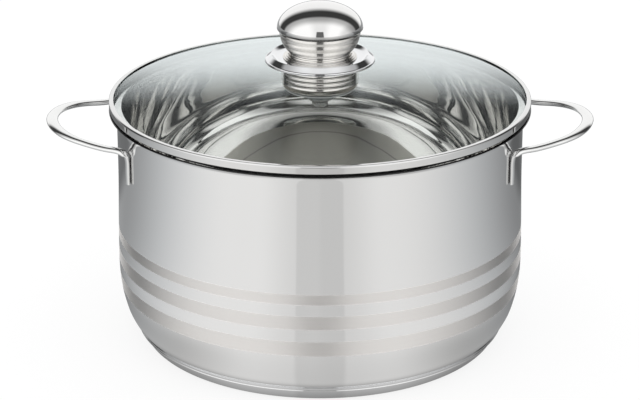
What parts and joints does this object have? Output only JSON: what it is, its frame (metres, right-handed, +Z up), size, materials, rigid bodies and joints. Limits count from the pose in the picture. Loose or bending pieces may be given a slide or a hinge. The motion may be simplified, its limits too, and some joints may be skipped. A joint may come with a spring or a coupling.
{
  "type": "stock pot",
  "caption": "Round stainless steel cooking pot with a flared lip, sandwich base, wire side handles and a lift-off glass lid with a steel rim and knob.",
  "frame": {"origin": "centre of the flat underside of the base", "axes": "+Z up along the pot's axis, +X through the two handles, -Y is the side facing the viewer"},
  "size_m": [0.3258, 0.2504, 0.2047],
  "materials": {
    "polished_steel": "mirror-polished stainless steel, with three satin bands round the lower wall",
    "handle_steel": "polished stainless steel wire",
    "knob_steel": "turned stainless steel with fine rings round the axis",
    "core_aluminium": "plain rolled aluminium",
    "fixing_steel": "zinc-plated steel",
    "lid_glass": "clear toughened glass with a faint green edge",
    "silicone": "matt grey silicone"
  },
  "bodies": {
    "pot": {"pot_shell": "polished_steel", "base_core_disc": "core_aluminium", "base_cap": "polished_steel", "handle_left": "handle_steel", "handle_right": "handle_steel"},
    "lid": {"lid_glass": "lid_glass", "lid_rim_band": "polished_steel", "lid_rim_seal": "silicone", "knob_flange": "knob_steel", "knob_lower_cup": "knob_steel", "knob_dome": "polished_steel", "knob_insert": "fixing_steel", "knob_screw": "fixing_steel", "screw_spring_washer": "fixing_steel", "screw_washer": "fixing_steel", "gasket_lower": "silicone", "gasket_upper": "silicone"}
  },
  "joints": [
    {"name": "lid_lift", "type": "slide", "parent": "pot", "child": "lid", "axis": [0, 0, 1], "range_m": [0, 0.15]}
  ]
}
